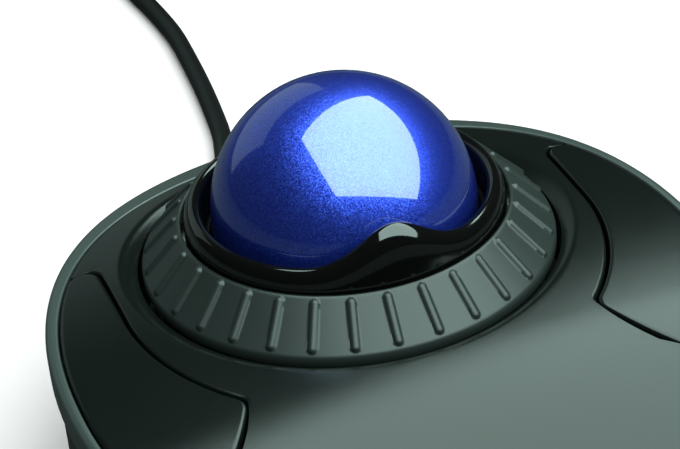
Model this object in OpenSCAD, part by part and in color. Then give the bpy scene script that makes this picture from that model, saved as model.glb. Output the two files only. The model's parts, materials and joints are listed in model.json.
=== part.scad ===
// Desktop trackball with a scroll ring, two side buttons and a captive USB lead.
// Millimetres. +Z is up, +Y points to the side the lead leaves, and the origin lies on the
// desk under the middle of the body. The ball and the ring share one upright axis, ball_y
// behind the origin.

/* [Body] */
// Width of the body across its trim band
body_w = 100; // [98:0.5:103]
// Depth of the body from palm edge to lead side
body_d = 115; // [113:0.5:118]
// Height of the feet below the base
foot_h = 1.5; // [1:0.1:2]
// Height of the deck beside the ball
deck_z = 33.1; // [33:0.1:33.4]
// Wall of the moulded shells
wall = 2.2; // [2:0.1:2.4]
// Depth of the trim band below the deck
band_h = 4.5; // [4:0.1:5]

/* [Ball] */
// Diameter of the ball
ball_d = 40; // [39.8:0.1:40]
// Height of the ball's centre above the desk
ball_z = 38; // [37.9:0.1:38.2]
// Diameter of the three bearing balls
bearing_d = 2.5; // [2.4:0.1:2.6]
// Height of the tongue that the collar raises in front of the ball
tongue_rise = 5.6; // [5:0.1:6]

/* [Ring] */
// Outer radius of the scroll ring
ring_r = 31.25; // [31:0.05:31.4]
// Inner radius of the scroll ring's lip
ring_lip_r = 24.6; // [24.5:0.05:24.8]
// Height from the ring's outer edge to its lip
ring_rise = 6.4; // [6.2:0.1:6.6]
// Number of raised bars on the ring
bar_count = 31; // [24:1:36]
// Radius of one raised bar
bar_r = 0.75; // [0.6:0.05:0.85]
// Number of encoder teeth under the ring
tooth_count = 36; // [24:1:40]

/* [Buttons] */
// Radius of the curved seam between deck and buttons
seam_r = 36.8; // [36.6:0.1:37.2]
// Distance of the seam's centre from the ball axis, towards the palm
seam_shift = 5.5; // [5:0.1:6]
// Gap around each button
button_gap = 0.5; // [0.4:0.05:0.6]
// How far a button stands above the deck
button_proud = 0.25; // [0.1:0.05:0.3]

/* [Lead] */
// Diameter of the lead
lead_d = 3.6; // [3.4:0.1:3.8]
// Height of the lead's exit above the desk
exit_z = 9; // [8:0.5:10]
// Length of the strain relief outside the body
relief_l = 17; // [15:1:20]
// Radius of the coil at the middle of its turns
coil_r = 21; // [20.5:0.5:21.5]

/* [Hidden] */
$fn = 96;

ball_r = ball_d / 2;
ball_y = 19;
eps = 0.01;
tall = 60;

// Outlines: superellipses, |x/a|^n + |y/b|^n = 1
body_n = 2.1;
deck_n = 2.2;
deck_a = body_w / 2 - 2;
deck_b = body_d / 2 - 4.5;
deck_yc = -1;
outline_steps = 96;

// Deck profile along Y: three tangent arcs that meet at crest_y, crowned over a large radius
crest_y = 23;
far_arc_r = 150;
near_arc_r = 300;
near_arc_l = 36;
palm_arc_r = 90;
crown_r = 500;
palm_turn = asin(near_arc_l / near_arc_r);

// Scroll ring
ring_top = ball_z;
ring_edge_z = ring_top - ring_rise;
cone_run = ring_r - ring_lip_r - 0.4;
cone_tilt = atan(ring_rise / cone_run);
bar_phase = 8;
// Half-angle at which the tongue has lost 40 per cent of its height
tongue_spread = 13;
track_z = 24.7;

// Ring recess in the deck
recess_r = 32;
recess_floor_z = 20;
recess_wall = 1.5;
well_r = 22.5;
flare_z = 30.6;

// Ball cup
cup_clear = 0.8;
cup_wall = 1.5;
cup_r = ball_r + cup_clear + cup_wall;
cup_flange_r = 31;
bearing_tilt = 35;
window_z = 14.2;
seat_h = 2.2;

// Boards
board_z = 7;
board_t = 1.6;
board_top = board_z + board_t;
sensor_board_z = 10;
sensor_board_t = 1.2;

// Switches and button pivots, from the ball axis
switch_x = 38;
switch_y = -22;
switch_h = 6.5;
switch_l = 12.8;
switch_w = 5.8;
plunger_top = board_top + switch_h + 0.8;
plunger_l = 1.5;
post_gap = 0.1;
pivot_y = 7;
pivot_z = 24.4;
pivot_x0 = 35;
pivot_x1 = 41.8;
pivot_r = 1.2;

// Fasteners, from the ball axis
case_screw_far = [22, 22];
case_screw_near = [24, -46];
board_screw_far = [13, 21];
board_screw_near = [22, -27];
cup_screw_r = 27;
screw_r = 1.3;
screw_head_r = 2.5;
foot_pos = [[30, 28], [-30, 28], [26, -36], [-26, -36]];
foot_r = 4.5;

// Lead: exit, coil centre and the route between them
exit_y = body_d / 2 - 0.8;
relief_end = exit_y + relief_l;
relief_flange_y = 52.2;
relief_flange_r = 4.3;
coil_x = 31;
coil_y = 206;
lead_route = [
    [0, relief_end, 9], [0, 76, 9], [0, 81, 8.4], [0.6, 87, 6.6], [2, 95, 3.6], [4, 103, 2.1],
    [6, 111, 1.8], [7.4, 121, 1.8], [8.5, 131, 1.8], [9.4, 142, 1.8], [10.1, 153, 1.8],
    [10.6, 164, 1.8], [10.9, 175, 1.8], [11, 186, 1.8], [11, 196, 1.8]
];
// From the coil over its top turn, down to the desk and round into the plug
tail_route = [
    [16.2, 220.9, 12.6], [21, 226, 12.9], [26, 231.5, 12.7], [31.5, 237, 11], [37, 242, 8],
    [43, 246.5, 4.6], [49, 249.3, 2.2], [55, 250, 1.8], [61, 248.4, 2.2], [65.3, 245, 3.2],
    [67, 241.2, 4], [67, 238, 4]
];
inner_route = [[37.6, 11.1], [38.6, 11.1], [40.4, 10.7], [42.4, 9.2], [43.4, 9], [47.6, 9], [52.2, 9]];
coil_turns_wide = 3;
coil_turns_high = 4;
coil_w = coil_turns_wide * lead_d;
coil_h = coil_turns_high * lead_d;
cord_sides = 8;
plug_x = 67;
plug_y = 205;
plug_h = 8;
plug_l = 24;

// ---------------------------------------------------------------- helpers

function oval(a, b, n) = [
    for (i = [0:outline_steps - 1])
        let (t = 360 * i / outline_steps, c = cos(t), s = sin(t))
            [a * sign(c) * pow(abs(c), 2 / n), b * sign(s) * pow(abs(s), 2 / n)]
];

function arc_drop(r, s) = r - sqrt(r * r - s * s);

function palm_drop(s) =
    arc_drop(near_arc_r, near_arc_l) + palm_arc_r * cos(palm_turn)
    - sqrt(pow(palm_arc_r, 2) - pow(s - near_arc_l + palm_arc_r * sin(palm_turn), 2));

// Drop of the deck below its crest at distance d from the crest, palm side negative
function deck_drop(d) =
    d >= 0 ? arc_drop(far_arc_r, d) :
    -d <= near_arc_l ? arc_drop(near_arc_r, -d) : palm_drop(-d);

module body_outline(inset = 0) {
    polygon(oval(body_w / 2 - inset, body_d / 2 - inset, body_n));
}

module deck_outline(grow = 0) {
    translate([0, deck_yc]) polygon(oval(deck_a + grow, deck_b + grow, deck_n));
}

// Everything under the crowned deck surface, raised by lift
module under_deck(lift = 0) {
    translate([0, 0, deck_z - crown_r])
        rotate([90, 0, 0])
            rotate([0, 0, 78])
                rotate_extrude(angle = 24, $fn = 360)
                    polygon(concat(
                        [[crown_r - 60, 60]],
                        [for (y = [-60:3:60]) [crown_r + lift - deck_drop(y - crest_y), -y]],
                        [[crown_r - 60, -60]]
                    ));
}

module slab(inset, z, h) {
    translate([0, 0, z]) linear_extrude(h) body_outline(inset);
}

// The body's block: upright sides that tuck in towards the desk
module body_block(inset, floor_z) {
    hull() {
        slab(inset + 4, floor_z, eps);
        slab(inset + 1.2, floor_z + 3, eps);
        slab(inset, floor_z + 8, tall);
    }
}

module on_axis() {
    translate([0, ball_y, 0]) children();
}

module both_sides() {
    children();
    mirror([1, 0, 0]) children();
}

module turned(count, start = 0) {
    for (i = [0:count - 1]) rotate([0, 0, start + i * 360 / count]) children();
}

module tube(r_out, r_in, z0, z1) {
    translate([0, 0, z0]) difference() {
        cylinder(h = z1 - z0, r = r_out);
        translate([0, 0, -1]) cylinder(h = z1 - z0 + 2, r = r_in);
    }
}

module disc(r, z0, z1) {
    translate([0, 0, z0]) cylinder(h = z1 - z0, r = r);
}

// Plan shape of the left button, in the body's frame
module button_plan(grow = 0) {
    offset(r = 2.5 + grow, $fn = 32) offset(delta = -2.5) difference() {
        intersection() {
            deck_outline(-0.15);
            union() {
                translate([-63.4, ball_y - 15.7]) circle(r = 40);
                translate([-60, ball_y - 15.7]) square([60, 60]);
            }
        }
        translate([0, ball_y - seam_shift]) circle(r = seam_r);
        translate([-seam_r, ball_y - seam_shift]) square([seam_r, 60]);
    }
}

module screw(x, y, z0, z1, head_z) {
    translate([x, y, 0]) {
        disc(screw_r, z0 - eps, z1);
        disc(screw_head_r, head_z, z0);
    }
}

module case_screw_spots() {
    both_sides() translate([case_screw_far[0], case_screw_far[1], 0]) children();
    both_sides() translate([case_screw_near[0], case_screw_near[1], 0]) children();
}

module board_screw_spots() {
    both_sides() translate([board_screw_far[0], board_screw_far[1], 0]) children();
    both_sides() translate([board_screw_near[0], board_screw_near[1], 0]) children();
}

// ---------------------------------------------------------------- casing

module base_shell() {
    color([0.16, 0.19, 0.18]) difference() {
        union() {
            difference() {
                intersection() {
                    body_block(0.8, foot_h);
                    under_deck(-band_h);
                }
                body_block(0.8 + wall, foot_h + wall);
            }
            on_axis() {
                case_screw_spots() disc(3.4, foot_h + 1, 10.9);
                board_screw_spots() disc(2.6, foot_h + 1, board_z);
                both_sides() pivot_bracket();
            }
            for (x = [-6.5, 6.5]) translate([x, 45.5, 0]) disc(1.9, foot_h + 1, 7);
        }
        on_axis() {
            case_screw_spots() {
                disc(screw_r + 0.2, 0, 12);
                disc(screw_head_r + 0.2, 0, 4.5);
            }
            board_screw_spots() disc(screw_r, 4.2, 8);
            both_sides() pivot_bore();
        }
        for (x = [-6.5, 6.5]) translate([x, 45.5, 0]) disc(0.8, 4.2, 8);
        for (p = foot_pos) translate([p[0], p[1], 0]) disc(foot_r, 0, foot_h + 0.6);
        translate([0, 45, exit_z]) rotate([-90, 0, 0]) cylinder(h = 20, r = 3.4);
        translate([0, 45, exit_z]) rotate([-90, 0, 0])
            cylinder(h = relief_flange_y + 1.62 - 45, r = relief_flange_r + 0.05);
    }
}

// Post with two ears that carries the left button's trunnion
module pivot_bracket() {
    ear = 1.4;
    translate([-pivot_x1, pivot_y - 2.4, foot_h + 1])
        cube([pivot_x1 - pivot_x0, 4.8, 17.5]);
    for (x = [-pivot_x1, -pivot_x0 - ear])
        translate([x, pivot_y - 2.4, 18]) cube([ear, 4.8, pivot_z + 1.9 - 18]);
}

module pivot_bore() {
    translate([-pivot_x1 - 1, pivot_y, pivot_z])
        rotate([0, 90, 0]) cylinder(h = pivot_x1 - pivot_x0 + 2, r = pivot_r + 0.05);
}

module trim_band() {
    color([0.36, 0.45, 0.42]) difference() {
        intersection() {
            translate([0, 0, foot_h]) linear_extrude(tall) body_outline();
            under_deck();
        }
        under_deck(-band_h);
        linear_extrude(tall) deck_outline(0.15);
    }
}

module top_shell() {
    color([0.20, 0.24, 0.23]) difference() {
        union() {
            intersection() {
                linear_extrude(tall) deck_outline(-0.15);
                difference() {
                    under_deck();
                    under_deck(-wall);
                }
            }
            intersection() {
                on_axis() disc(recess_r + recess_wall, recess_floor_z, tall);
                under_deck(-0.5);
                linear_extrude(tall) deck_outline(-0.15);
            }
            on_axis() both_sides() translate([case_screw_far[0], case_screw_far[1], 0])
                disc(3, 11, recess_floor_z + 1);
            on_axis() both_sides() near_boss();
        }
        on_axis() {
            disc(recess_r, recess_floor_z + recess_wall, tall);
            disc(well_r, 0, tall);
            translate([0, 0, flare_z]) cylinder(h = 7, r1 = recess_r, r2 = recess_r + 11);
            case_screw_spots() disc(screw_r, 0, 17);
            turned(3, 30) translate([cup_screw_r, 0, 0]) disc(0.9, 15, 20.9);
        }
        both_sides() linear_extrude(tall) button_plan(button_gap);
    }
}

// Screw boss on an arm that reaches from the recess floor towards the palm
module near_boss() {
    translate([case_screw_near[0], case_screw_near[1], 0]) disc(3, 11, recess_floor_z + 2.5);
    rotate([0, 0, atan2(case_screw_near[1], case_screw_near[0])])
        translate([recess_r - 1, -2, recess_floor_z])
            cube([norm(case_screw_near) - recess_r + 1, 4, recess_wall]);
}

// Left button cap with its trunnion, arm and the post that works the switch
module left_button() {
    color([0.19, 0.23, 0.22]) {
        intersection() {
            linear_extrude(tall) button_plan();
            difference() {
                under_deck(button_proud);
                under_deck(-wall);
            }
        }
        on_axis() {
            translate([-pivot_x1, pivot_y, pivot_z])
                rotate([0, 90, 0]) cylinder(h = pivot_x1 - pivot_x0, r = pivot_r);
            intersection() {
                translate([-pivot_x1 + 1.9, pivot_y - 1.1, pivot_z]) cube([3, 2.2, tall]);
                translate([0, -ball_y, 0]) under_deck(-0.5);
            }
            intersection() {
                translate([-switch_x, switch_y, 0])
                    disc(2, plunger_top + post_gap, tall);
                translate([0, -ball_y, 0]) under_deck(-0.5);
            }
        }
    }
}

module right_button() {
    mirror([1, 0, 0]) left_button();
}

// ---------------------------------------------------------------- ball and its seat

module ball() {
    color([0.10, 0.14, 0.62]) on_axis() translate([0, 0, ball_z])
        rotate([0, 90, 0]) sphere(r = ball_r, $fn = 128);
}

// Gloss collar: a rounded lip around the ball on a thin upright tube, with a raised bell-shaped
// tongue on the palm side
module ball_collar() {
    lip_z = ball_z + 2.8;
    rim_r = ring_lip_r - 0.4;
    mid = [21.6 + 0.9, lip_z - 1.1];
    color([0.03, 0.03, 0.03]) on_axis() union() {
        rotate_extrude() polygon(concat(
            [[well_r, recess_floor_z + recess_wall], [rim_r, recess_floor_z + recess_wall]],
            [for (t = [0:10:90]) [mid[0] + (rim_r - mid[0]) * cos(t), mid[1] - 2.4 + 3.5 * sin(t)]],
            [for (t = [100:20:180]) [mid[0] + 1.1 * cos(t), mid[1] + 1.1 * sin(t)]],
            [[20.9, ball_z + 0.6], [20.8, ball_z - 0.6], [well_r, ball_z - 2.2]]
        ));
        intersection() {
            difference() {
                disc(mid[0] + 1.2, ball_z - 0.5, lip_z + tongue_rise + 1);
                disc(mid[0] - 1, ball_z - 1, lip_z + tongue_rise + 2);
            }
            rotate([90, 0, 0]) linear_extrude(rim_r + 2) polygon(concat(
                [for (t = [-36:4:36])
                    [mid[0] * sin(t), lip_z - 0.7 + (tongue_rise + 0.7) * exp(-pow(t / tongue_spread, 2) / 2)]],
                [[mid[0] * sin(36), ball_z - 1], [-mid[0] * sin(36), ball_z - 1]]
            ));
        }
    }
}

// Cup under the ball: three bearing seats, a window well and a screw flange
module ball_cup() {
    color([0.07, 0.07, 0.07]) on_axis() difference() {
        union() {
            intersection() {
                translate([0, 0, ball_z]) sphere(r = cup_r, $fn = 128);
                disc(cup_r + 1, 13, 35.4);
            }
            disc(cup_flange_r, recess_floor_z - 1.6, recess_floor_z);
            disc(6.2, 13.2, 18);
            bearing_spots() rotate([0, 90, 0]) cylinder(h = seat_h, r = 2.2, $fn = 48);
        }
        translate([0, 0, ball_z]) sphere(r = cup_r - cup_wall, $fn = 128);
        bearing_spots() translate([-2, 0, 0]) rotate([0, 90, 0])
            cylinder(h = 2 + bearing_d / 2 + 0.02, r = bearing_d / 2 + 0.02, $fn = 48);
        disc(3, 10, 20);
        disc(4.6, 10, window_z + 1.2);
        turned(3, 30) translate([cup_screw_r, 0, 0]) disc(screw_r, 15, 22);
        both_sides() translate([case_screw_far[0], case_screw_far[1], 0]) disc(3.2, 15, 22);
    }
}

module bearing_spots() {
    turned(3, 90) translate([0, 0, ball_z]) rotate([0, bearing_tilt, 0])
        translate([ball_r + bearing_d / 2 + 0.02, 0, 0]) children();
}

module bearing_balls() {
    color([0.85, 0.85, 0.82]) on_axis() bearing_spots() sphere(r = bearing_d / 2, $fn = 48);
}

// ---------------------------------------------------------------- scroll ring

// Height of the grip's underside at radius r
function grip_under_z(r) =
    ring_top - 2 - (r - ring_lip_r) * (ring_rise - 1.6) / (ring_r - 1.6 - ring_lip_r);

// Soft grip: a conical skin with a lip and round-ended bars
module ring_grip() {
    lip_r = ring_lip_r + 0.4;
    bar_start = 1.1;
    bar_end = cone_run / cos(cone_tilt) - 1.35;
    color([0.30, 0.38, 0.35]) on_axis() {
        rotate_extrude() polygon([
            [ring_lip_r, ring_top - 2], [ring_lip_r, ring_top], [lip_r, ring_top],
            [ring_r, ring_edge_z], [ring_r, ring_edge_z - 1.6],
            [ring_r - 1.6, ring_edge_z - 1.6], [ring_r - 1.6, ring_edge_z - 0.4]
        ]);
        turned(bar_count, bar_phase)
            translate([lip_r, 0, ring_top]) rotate([0, 90 + cone_tilt - 90, 0])
                translate([0, 0, -0.2]) {
                    translate([bar_start, 0, 0]) rotate([0, 90, 0])
                        cylinder(h = bar_end - bar_start, r = bar_r, $fn = 24);
                    translate([bar_start, 0, 0]) sphere(r = bar_r, $fn = 24);
                    translate([bar_end, 0, 0]) sphere(r = bar_r, $fn = 24);
                }
    }
}

// Rigid ring under the grip, with a running sleeve and encoder teeth
module ring_carrier() {
    sleeve_r = ring_lip_r + 1.6;
    web_r = ring_r - 1.6;
    color([0.12, 0.13, 0.13]) on_axis() difference() {
        rotate_extrude() polygon([
            [sleeve_r, 25], [sleeve_r, grip_under_z(sleeve_r)], [web_r, grip_under_z(web_r)],
            [web_r, 23.2], [web_r - 0.9, 23.2], [web_r - 0.9, 29.4], [sleeve_r + 1.4, 31.4],
            [sleeve_r + 1.4, 25]
        ]);
        turned(tooth_count) translate([web_r - 2, -1.2, 22]) cube([4, 2.4, 4.2]);
    }
}

// Fixed guide that the ring's sleeve runs on
module ring_track() {
    color([0.80, 0.80, 0.76]) on_axis() rotate_extrude() polygon([
        [ring_lip_r, recess_floor_z + recess_wall], [28, recess_floor_z + recess_wall],
        [28, track_z], [ring_lip_r + 1.52, track_z], [ring_lip_r + 1.52, 33.2], [ring_lip_r, 33.2]
    ]);
}

// Slotted light barrier that straddles the encoder teeth
module ring_sensor() {
    teeth_r = ring_r - 2.05;
    color([0.05, 0.05, 0.06]) on_axis() rotate([0, 0, 60]) difference() {
        translate([28.05, -2.5, recess_floor_z + recess_wall]) cube([2.65, 5, 3.6]);
        translate([teeth_r - 0.75, -3, 22.9]) cube([1.5, 6, 4]);
    }
}

// ---------------------------------------------------------------- boards and switches

module sensor_window() {
    color([0.75, 0.80, 0.82]) on_axis() {
        disc(4.5, window_z, window_z + 1.2);
        disc(2.4, window_z + 1.2, window_z + 2);
    }
}

module ball_sensor() {
    color([0.04, 0.04, 0.05]) on_axis() translate([-4.5, -4.5, sensor_board_z + sensor_board_t])
        difference() {
            cube([9, 9, 1.9]);
            translate([4.5, 4.5, 1.2]) cylinder(h = 1, r = 1.2);
        }
}

module sensor_led() {
    color([0.75, 0.15, 0.12]) on_axis() translate([0, 9, sensor_board_z + sensor_board_t]) {
        cylinder(h = 1.6, r = 1.6);
        translate([0, 0, 1.6]) sphere(r = 1.2, $fn = 32);
    }
}

module sensor_board() {
    color([0.05, 0.25, 0.14]) on_axis()
        translate([-11, -8, sensor_board_z]) cube([22, 20, sensor_board_t]);
}

// Pin strip that joins the sensor board to the main board
module board_header() {
    color([0.78, 0.66, 0.30]) on_axis() for (i = [-3:3])
        translate([i * 2.54 - 0.3, -6.3, board_top]) cube([0.6, 0.6, sensor_board_z - board_top]);
}

module main_board() {
    color([0.05, 0.28, 0.16]) difference() {
        translate([0, 0, board_z]) linear_extrude(board_t) intersection() {
            body_outline(7);
            translate([-44, ball_y - 32]) square([88, 56]);
        }
        on_axis() {
            case_screw_spots() disc(3.9, 0, tall);
            board_screw_spots() disc(screw_r + 0.2, 0, tall);
            both_sides() translate([-pivot_x1 - 3, pivot_y - 3, 0])
                cube([pivot_x1 - pivot_x0 + 3.6, 6, tall]);
            translate([-2, 21, 0]) cube([4, 4, tall]);
        }
    }
}

module controller_chip() {
    color([0.03, 0.03, 0.03]) on_axis() translate([-26, -17, board_top]) {
        cube([9, 9, 1.4]);
        for (i = [0:7]) translate([0.9 + i, -0.9, 0]) cube([0.4, 10.8, 0.4]);
    }
}

module board_capacitors() {
    color([0.10, 0.16, 0.34]) on_axis() for (x = [19, 25.5])
        translate([x, -12, board_top]) cylinder(h = 5.4, r = 2.5);
}

module board_crystal() {
    color([0.72, 0.73, 0.74]) on_axis() translate([-14, -15, board_top]) hull() {
        cylinder(h = 3.2, r = 1.8, $fn = 32);
        translate([0, 6, 0]) cylinder(h = 3.2, r = 1.8, $fn = 32);
    }
}

module left_switch() {
    color([0.06, 0.06, 0.07]) on_axis() translate([-switch_x, switch_y, board_top])
        difference() {
            translate([-switch_w / 2, -switch_l / 2, 0]) cube([switch_w, switch_l, switch_h]);
            translate([0, 0, switch_h - 1.6]) cylinder(h = 3, r = 1.08);
            for (y = [-3.4, 3.4]) translate([-5, y, 2.2])
                rotate([0, 90, 0]) cylinder(h = 10, r = 0.9, $fn = 24);
        }
}

module right_switch() {
    mirror([1, 0, 0]) left_switch();
}

module left_plunger() {
    color([0.85, 0.80, 0.30]) on_axis() translate([-switch_x, switch_y, plunger_top - plunger_l])
        cylinder(h = plunger_l, r = 1);
}

module right_plunger() {
    mirror([1, 0, 0]) left_plunger();
}

// ---------------------------------------------------------------- lead inside the body

module lead_socket() {
    color([0.88, 0.87, 0.82]) translate([-5, 31.5, board_top]) difference() {
        cube([10, 4.5, 4.4]);
        translate([1, 1, 1]) cube([8, 4, 6]);
    }
}

module lead_connector() {
    color([0.92, 0.91, 0.86]) translate([-3.9, 32.6, board_top + 1.1]) cube([7.8, 5, 2.8]);
}

module inner_lead() {
    color([0.05, 0.05, 0.05]) sweep([for (p = inner_route) [0, p[0], p[1]]], 1.2);
}

// Bar that holds the lead down behind the wall
module lead_clamp() {
    color([0.14, 0.15, 0.15]) translate([0, 45.5, 0]) difference() {
        translate([-9, -2, 7]) cube([18, 4, 4.6]);
        translate([0, -3, exit_z]) rotate([-90, 0, 0]) cylinder(h = 6, r = 1.25);
        translate([-1.25, -3, 6]) cube([2.5, 6, exit_z - 6]);
        for (x = [-6.5, 6.5]) translate([x, 0, 0]) disc(1, 0, 20);
    }
}

// Flanged bush with a tapered, ribbed tail
module strain_relief() {
    wall_y = exit_y - relief_flange_y;
    tail_y = relief_end - relief_flange_y;
    color([0.04, 0.04, 0.04]) translate([0, relief_flange_y, exit_z]) rotate([-90, 0, 0])
        rotate_extrude() polygon([
            [0, 0], [relief_flange_r, 0], [relief_flange_r, 1.6], [3.35, 1.6], [3.35, wall_y],
            [3.9, wall_y + 0.1], [3.9, wall_y + 2], [2.5, tail_y], [0, tail_y]
        ]);
}

// ---------------------------------------------------------------- fasteners and feet

module case_screws() {
    color([0.55, 0.56, 0.57]) on_axis() {
        both_sides() screw(case_screw_far[0], case_screw_far[1], 4.5, 16, 2.6);
        both_sides() screw(case_screw_near[0], case_screw_near[1], 4.5, 16, 2.6);
    }
}

module board_screws() {
    color([0.60, 0.61, 0.62]) on_axis() board_screw_spots() {
        disc(screw_r, 4.4, board_top + eps);
        disc(screw_head_r, board_top, board_top + 1.5);
    }
}

module cup_screws() {
    color([0.60, 0.61, 0.62]) on_axis() turned(3, 30) translate([cup_screw_r, 0, 0]) {
        disc(0.9, 16, 20.8);
        disc(screw_head_r, recess_floor_z - 3, recess_floor_z - 1.6);
    }
}

module clamp_screws() {
    color([0.60, 0.61, 0.62]) for (x = [-6.5, 6.5]) translate([x, 45.5, 0]) {
        disc(0.8, 4.4, 11.7);
        disc(1.7, 11.6, 12.8);
    }
}

module rubber_feet() {
    color([0.07, 0.07, 0.07]) for (p = foot_pos) translate([p[0], p[1], 0])
        disc(foot_r - 0.05, 0, foot_h + 0.6);
}

// ---------------------------------------------------------------- lead outside the body

function along(pts, i) =
    i == 0 ? pts[1] - pts[0] :
    i == len(pts) - 1 ? pts[i] - pts[i - 1] : pts[i + 1] - pts[i - 1];

function ring_at(p, d, r) =
    let (f = d / norm(d), side = cross(f, [0, 0, 1]), s = side / norm(side), u = cross(s, f))
    [for (k = [0:cord_sides - 1])
        let (t = 360 * (k + 0.5) / cord_sides) p + r * (cos(t) * s + sin(t) * u)];

module sweep(pts, r) {
    n = cord_sides;
    rings = [for (i = [0:len(pts) - 1]) each ring_at(pts[i], along(pts, i), r)];
    last = (len(pts) - 1) * n;
    polyhedron(rings, concat(
        [[for (k = [0:n - 1]) k]],
        [for (i = [0:len(pts) - 2], k = [0:n - 1])
            [i * n + k, (i + 1) * n + k, (i + 1) * n + (k + 1) % n, i * n + (k + 1) % n]],
        [[for (k = [n - 1:-1:0]) last + k]]
    ));
}

module usb_cord() {
    color([0.05, 0.05, 0.05]) {
        sweep(lead_route, lead_d / 2);
        sweep(tail_route, lead_d / 2);
    }
}

module cord_coil() {
    color([0.05, 0.05, 0.05]) translate([coil_x, coil_y, 0]) rotate_extrude()
        translate([coil_r - coil_w / 2, 0]) square([coil_w, coil_h]);
}

// Strap around the coil's bundle, on the side away from the body
module coil_tie() {
    tie_w = 7;
    tie_t = 0.8;
    color([0.10, 0.10, 0.10]) translate([coil_x, coil_y, 0]) rotate([0, 0, 55]) difference() {
        translate([coil_r - coil_w / 2 - tie_t, -tie_w / 2, 0])
            cube([coil_w + 2 * tie_t, tie_w, coil_h + tie_t]);
        tube(coil_r + coil_w / 2, coil_r - coil_w / 2, -1, coil_h);
    }
}

// Plug, lying beside the coil with its metal shell pointing back along -Y
module usb_overmould() {
    color([0.05, 0.05, 0.05]) translate([plug_x, plug_y, 0]) {
        translate([-8, 0, 0]) cube([16, plug_l, plug_h]);
        translate([0, plug_l, plug_h / 2]) rotate([-90, 0, 0])
            cylinder(h = 9, r1 = 3.4, r2 = 2.3);
    }
}

module usb_shell() {
    color([0.75, 0.76, 0.77]) translate([plug_x, plug_y, plug_h / 2]) difference() {
        translate([-6, -12, -2.25]) cube([12, 12, 4.5]);
        translate([-5.7, -13, -1.95]) cube([11.4, 12.5, 3.9]);
        for (x = [-2.6, 2.6]) translate([x - 1.1, -8, 0]) cube([2.2, 2.4, 5]);
    }
}

module usb_tongue() {
    color([0.90, 0.90, 0.88]) translate([plug_x - 5.6, plug_y - 11.4, plug_h / 2 - 1.9])
        cube([11.2, 10.9, 1.8]);
}

module usb_contacts() {
    color([0.85, 0.70, 0.30]) for (x = [-3.5, -1, 1, 3.5])
        translate([plug_x + x - 0.5, plug_y - 10.9, plug_h / 2 - 0.1]) cube([1, 8.5, 0.2]);
}

base_shell();
trim_band();
top_shell();
left_button();
right_button();
ball_collar();
ball_cup();
bearing_balls();
ball();
ring_grip();
ring_carrier();
ring_track();
ring_sensor();
sensor_window();
ball_sensor();
sensor_led();
sensor_board();
board_header();
main_board();
controller_chip();
board_capacitors();
board_crystal();
left_switch();
right_switch();
left_plunger();
right_plunger();
lead_socket();
lead_connector();
inner_lead();
lead_clamp();
strain_relief();
case_screws();
board_screws();
cup_screws();
clamp_screws();
rubber_feet();
usb_cord();
cord_coil();
coil_tie();
usb_overmould();
usb_shell();
usb_tongue();
usb_contacts();
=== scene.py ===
"""Looks of a desktop trackball with a scroll ring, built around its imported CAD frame.

Sizes in the property groups are millimetres, except for the lead's length, which is metres. The
shapes are worked out in millimetres and written in metres, in the frame of the CAD: +Z up, +Y
towards the side the lead leaves, origin on the desk under the middle of the body.
"""

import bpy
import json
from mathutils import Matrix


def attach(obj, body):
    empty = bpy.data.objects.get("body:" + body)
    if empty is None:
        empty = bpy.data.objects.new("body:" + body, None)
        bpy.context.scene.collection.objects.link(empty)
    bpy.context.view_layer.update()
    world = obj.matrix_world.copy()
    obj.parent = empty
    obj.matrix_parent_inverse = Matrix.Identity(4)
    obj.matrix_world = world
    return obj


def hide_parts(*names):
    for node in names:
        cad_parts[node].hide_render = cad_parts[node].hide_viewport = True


bl_info = {
    "name": "Trackball Looks",
    "version": (1, 0, 0),
    "blender": (4, 5, 0),
    "location": "View3D > Sidebar > Trackball",
    "description": "Builds the visible pieces and finishes of a desktop trackball",
    "category": "Add Mesh",
}

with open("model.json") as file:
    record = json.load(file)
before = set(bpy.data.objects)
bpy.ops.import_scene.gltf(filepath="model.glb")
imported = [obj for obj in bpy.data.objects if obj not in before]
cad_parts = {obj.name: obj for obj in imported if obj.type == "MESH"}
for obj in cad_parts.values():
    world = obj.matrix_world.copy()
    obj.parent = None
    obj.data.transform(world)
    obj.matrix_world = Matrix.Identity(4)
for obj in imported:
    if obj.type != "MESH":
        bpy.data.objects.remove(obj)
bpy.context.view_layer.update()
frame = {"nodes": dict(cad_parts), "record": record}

import json
import math

import bmesh
import bpy
import numpy as np
from mathutils import Matrix

MM = 0.001

# ---------------------------------------------------------------- surfaces of the body

# The button's seam and near end are circles, and round corners join them to the outline. An outline
# is a superellipse: half width, half depth, power, and middle along Y.
BALL_Y, BALL_Z, BALL_R = 19.0, 38.0, 20.0
SEAM_CENTRE = np.array([0.0, BALL_Y - 5.5])
SEAM_R = 36.8
NEAR_CENTRE = np.array([-63.4, BALL_Y - 15.7])
NEAR_R = 40.0
CORNER_R = 2.5
DECK_OVAL = (48.0, 53.0, 2.2, -1.0)
BODY_OVAL = (50.0, 57.5, 2.1, 0.0)
JOINT = 0.15  # half the joint between the deck and the trim band
CREST_Y, CREST_Z = 23.0, 33.1  # highest line of the deck
CROWN_R = 500.0  # crown of the deck across X
TIP_SPLIT = (0.35, 0.65)  # where the tip's arc is shared between seam, tip and outer edge


def drop(d, palm_r=90.0, near_r=300.0, near_l=36.0, far_r=150.0):
    """Drop of the deck below its crest at distance d along Y: an arc on the lead side, and two
    tangent arcs, a flat one and a tighter one, on the palm side."""
    turn = math.asin(near_l / near_r)
    far = far_r - np.sqrt(far_r**2 - np.clip(d, 0, 60) ** 2)
    near = near_r - np.sqrt(near_r**2 - np.clip(-d, 0, near_l) ** 2)
    s = np.clip(-d - near_l, 0, None)
    palm = palm_r * math.cos(turn) - np.sqrt(palm_r**2 - (s + palm_r * math.sin(turn)) ** 2)
    return np.where(d >= 0, far, near + np.where(s > 0, palm, 0.0))


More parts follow.
